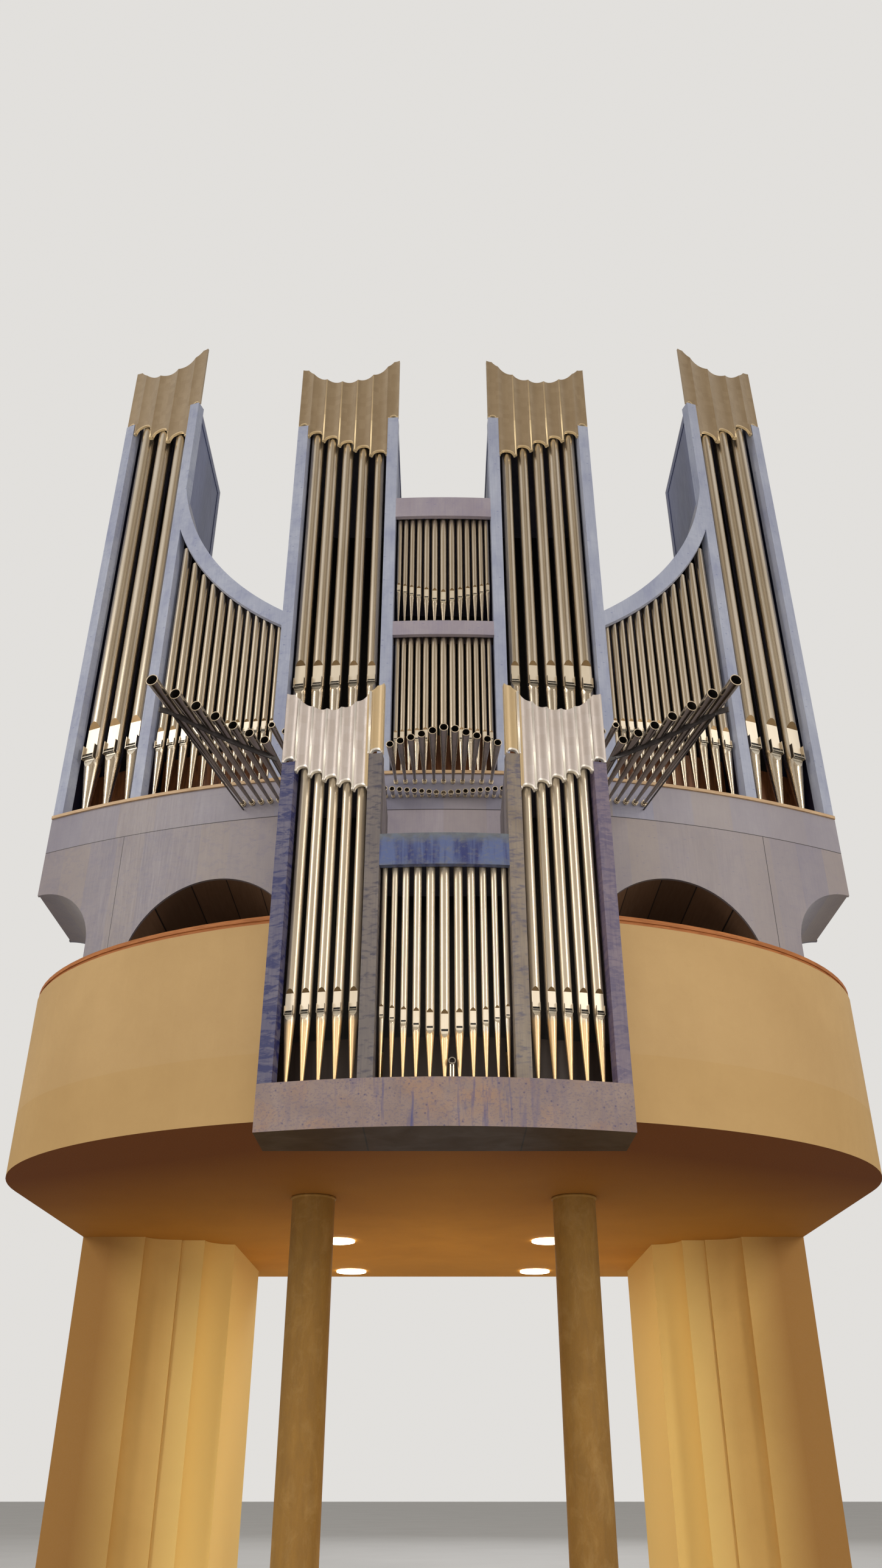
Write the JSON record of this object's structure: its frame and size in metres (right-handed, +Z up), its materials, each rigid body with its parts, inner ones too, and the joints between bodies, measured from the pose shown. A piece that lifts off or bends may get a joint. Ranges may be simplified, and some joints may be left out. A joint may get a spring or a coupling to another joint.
{
  "type": "pipe organ on a gallery",
  "caption": "Pipe organ with a tall towered case, horizontal trumpets and a small front case on a bowed gallery carried by columns and hollowed piers.",
  "frame": {"origin": "on the ground, under the centre of the plan", "axes": "+Z up, the front faces -Y, X across the centre line"},
  "size_m": [9.94, 9.93, 16.98],
  "materials": {
    "brown_wood": "satin",
    "concrete": "matte",
    "dark_steel": "satin",
    "deep_blue_wood": "satin",
    "grey_blue_wood": "satin",
    "lamp_glass": "satin",
    "pale_blue_wood": "satin",
    "pale_wood": "satin",
    "pipe_metal": "polished",
    "plaster": "matte",
    "plinth_wood": "satin",
    "rail_wood": "satin",
    "reed_metal": "polished",
    "silver_leaf": "satin"
  },
  "bodies": {
    "root": {"gallery_slab": "plaster", "parapets": "plaster", "handrails": "rail_wood", "columns": "concrete", "pier_left": "plaster", "pier_right": "plaster", "ceiling_lamps": "lamp_glass", "base_centre_bay": "pale_blue_wood", "arch_panel_left": "pale_blue_wood", "arch_panel_right": "pale_blue_wood", "arch_linings": "brown_wood", "base_legs": "pale_blue_wood", "base_sides": "pale_blue_wood", "overhang_soffits": "pale_blue_wood", "impost_frieze": "pale_blue_wood", "toe_board": "pale_wood", "chest_deck": "brown_wood", "case_back": "grey_blue_wood", "case_sides": "pale_blue_wood", "outer_tower_posts": "pale_blue_wood", "inner_tower_posts": "pale_blue_wood", "outer_tower_flanks": "pale_blue_wood", "inner_tower_flanks": "pale_blue_wood", "case_roofs": "grey_blue_wood", "wind_chests": "brown_wood", "swoop_rails": "pale_blue_wood", "middle_rail": "pale_blue_wood", "upper_rail": "pale_blue_wood", "outer_veils": "silver_leaf", "inner_veils": "silver_leaf", "outer_tower_pipes": "pipe_metal", "inner_tower_pipes": "pipe_metal", "swoop_pipes": "pipe_metal", "lower_field_pipes": "pipe_metal", "upper_field_pipes": "pipe_metal", "side_trumpets": "reed_metal", "middle_trumpets": "reed_metal", "small_trumpets": "reed_metal", "trumpet_stays": "dark_steel", "chair_plinth": "plinth_wood", "chair_toe_board": "plinth_wood", "wind_tube": "reed_metal", "chair_posts": "deep_blue_wood", "chair_sides": "pale_blue_wood", "chair_back": "grey_blue_wood", "chair_roofs": "grey_blue_wood", "chair_top_rail": "deep_blue_wood", "chair_veils": "silver_leaf", "chair_tower_pipes": "pipe_metal", "chair_field_pipes": "pipe_metal"}
  },
  "joints": []
}
